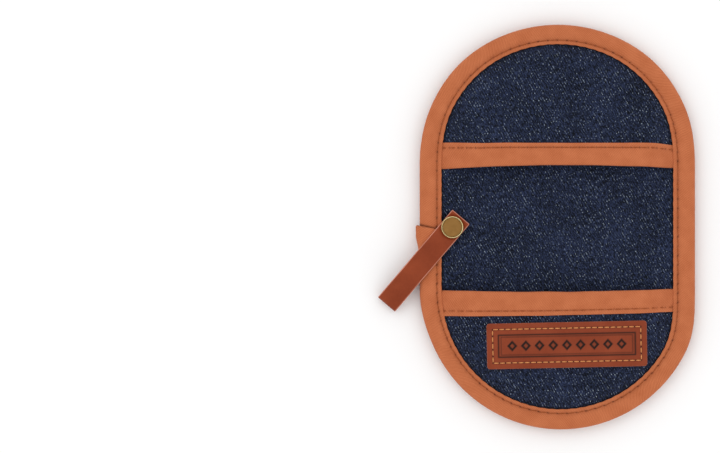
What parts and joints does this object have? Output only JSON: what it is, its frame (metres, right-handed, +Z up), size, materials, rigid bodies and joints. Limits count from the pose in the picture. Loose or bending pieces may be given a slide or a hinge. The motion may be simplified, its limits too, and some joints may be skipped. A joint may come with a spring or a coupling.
{
  "type": "oven mitt",
  "caption": "Flat padded denim mitt for gripping hot pots, with a pocket for the fingers, one for the thumb and a leather hanging loop that unsnaps.",
  "frame": {"origin": "centre of the flat palm face, on the surface the mitt lies on", "axes": "+Z up through the pad to the pocket side, +Y along the pad to the finger end, +X to the right seen from the pocket side, away from the hanging loop"},
  "size_m": [0.1774, 0.225, 0.0178],
  "materials": {
    "denim": "dark indigo twill with pale flecks",
    "binding_twill": "rust orange twill tape",
    "thread": "matte twisted thread",
    "heat_film": "metallised heat-reflecting film",
    "wadding": "needled cotton wadding",
    "lining_cotton": "plain cotton",
    "leather": "red-brown vegetable-tanned leather",
    "brass": "antique brass"
  },
  "bodies": {
    "middle": {"palm_cover_middle": "denim", "heat_film_middle": "heat_film", "wadding_middle": "wadding", "back_cover_middle": "denim", "edge_binding_middle": "binding_twill", "edge_stitching_middle": "thread", "snap_stud": "brass", "snap_back_cap": "brass"},
    "finger_end": {"palm_cover_finger_end": "denim", "heat_film_finger_end": "heat_film", "wadding_finger_end": "wadding", "back_cover_finger_end": "denim", "edge_binding_finger_end": "binding_twill", "edge_stitching_finger_end": "thread", "finger_pocket_lining": "lining_cotton", "finger_pocket_panel": "denim", "finger_pocket_binding": "binding_twill", "finger_pocket_stitching": "thread"},
    "thumb_end": {"palm_cover_thumb_end": "denim", "heat_film_thumb_end": "heat_film", "wadding_thumb_end": "wadding", "back_cover_thumb_end": "denim", "edge_binding_thumb_end": "binding_twill", "edge_stitching_thumb_end": "thread", "thumb_pocket_lining": "lining_cotton", "thumb_pocket_panel": "denim", "thumb_pocket_binding": "binding_twill", "thumb_pocket_stitching": "thread", "leather_label": "leather", "label_stitching": "thread"},
    "strap_back": {"strap_back_leg": "leather", "strap_fold": "leather"},
    "strap_front": {"strap_front_leg": "leather", "snap_cap": "brass", "snap_socket": "brass"}
  },
  "joints": [
    {"name": "finger_fold", "type": "hinge", "parent": "middle", "child": "finger_end", "pos_m": [0, 0.033, 0], "axis": [-1, 0, 0], "range_deg": [0, 100], "stiffness_Nm_per_rad": 0.05},
    {"name": "thumb_fold", "type": "hinge", "parent": "middle", "child": "thumb_end", "pos_m": [0, -0.033, 0], "axis": [1, 0, 0], "range_deg": [0, 100], "stiffness_Nm_per_rad": 0.05},
    {"name": "strap_swivel", "type": "hinge", "parent": "middle", "child": "strap_back", "pos_m": [-0.0585, 0, 0.002], "axis": [0, 0, -1], "range_deg": [0, 99]},
    {"name": "strap_unsnap", "type": "hinge", "parent": "strap_back", "child": "strap_front", "pos_m": [-0.09343, -0.04105, 0.0065], "axis": [0.7615, -0.6481, 0], "range_deg": [0, 120]}
  ]
}
